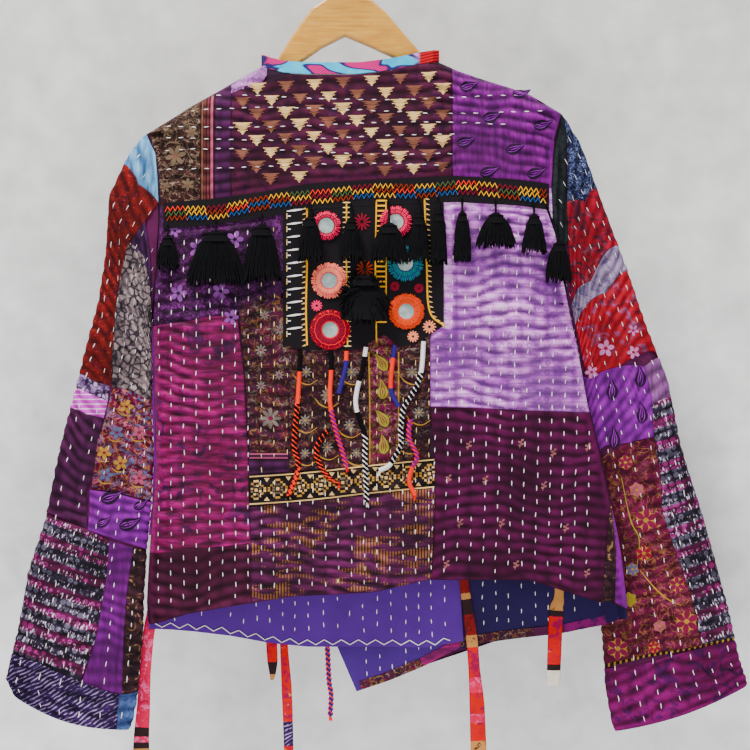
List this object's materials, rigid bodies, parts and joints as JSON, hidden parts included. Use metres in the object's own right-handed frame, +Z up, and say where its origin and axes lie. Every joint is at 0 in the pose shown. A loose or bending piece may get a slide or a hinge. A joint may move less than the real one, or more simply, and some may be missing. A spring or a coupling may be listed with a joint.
{
  "type": "patchwork jacket on a hanger",
  "caption": "Open quilted patchwork jacket with long sleeves, mirror-work patch, tassels, braids and fabric ties, hung on a flat wooden hanger with a wire hook.",
  "frame": {"origin": "inner top of the hanger's hook, where it rests on a rail", "axes": "-Y is the side with the back of the jacket, +X is to the right of that view, +Z is up"},
  "size_m": [0.7781, 0.0713, 0.8883],
  "materials": {
    "back_cloth": "matt",
    "lining_cloth": "matt",
    "front_cloth": "matt",
    "sleeve_cloth": "matt",
    "binding_cloth": "matt",
    "trim_cloth": "matt",
    "mirror_patch_cloth": "matt",
    "rosette_thread": "matt",
    "mirror_glass": "polished",
    "tassel_yarn": "matt",
    "braid_yarn": "matt",
    "tie_cloth": "matt",
    "hanger_wood": "varnished",
    "hook_steel": "plain wire"
  },
  "bodies": {
    "root": {"back": "back_cloth", "front_left": "lining_cloth", "front_right": "front_cloth", "sleeve_left": "sleeve_cloth", "sleeve_right": "sleeve_cloth", "neck_binding": "binding_cloth", "trim_band": "trim_cloth", "mirror_panel": "mirror_patch_cloth", "hanger_bar": "hanger_wood", "hanger_hook": "hook_steel", "rosette_1": "rosette_thread", "mirror_1": "mirror_glass", "rosette_2": "rosette_thread", "mirror_2": "mirror_glass", "rosette_3": "rosette_thread", "mirror_3": "mirror_glass", "rosette_4": "rosette_thread", "mirror_4": "mirror_glass", "rosette_5": "rosette_thread", "mirror_5": "mirror_glass", "rosette_6": "rosette_thread", "mirror_6": "mirror_glass", "tassel_01": "tassel_yarn", "tassel_02": "tassel_yarn", "tassel_03": "tassel_yarn", "tassel_04": "tassel_yarn", "tassel_05": "tassel_yarn", "tassel_06": "tassel_yarn", "tassel_07": "tassel_yarn", "tassel_08": "tassel_yarn", "tassel_09": "tassel_yarn", "tassel_10": "tassel_yarn", "tassel_11": "tassel_yarn", "tassel_12": "tassel_yarn", "tassel_13": "tassel_yarn", "braid_1": "braid_yarn", "braid_2": "braid_yarn", "braid_3": "braid_yarn", "braid_4": "braid_yarn", "braid_5": "braid_yarn", "braid_6": "braid_yarn", "braid_7": "braid_yarn", "braid_8": "braid_yarn", "braid_front": "braid_yarn", "tie_left_side": "tie_cloth", "tie_left_outer": "tie_cloth", "tie_left_edge_outer": "tie_cloth", "tie_left_edge_inner": "tie_cloth", "tie_right_inner": "tie_cloth"}
  },
  "joints": []
}
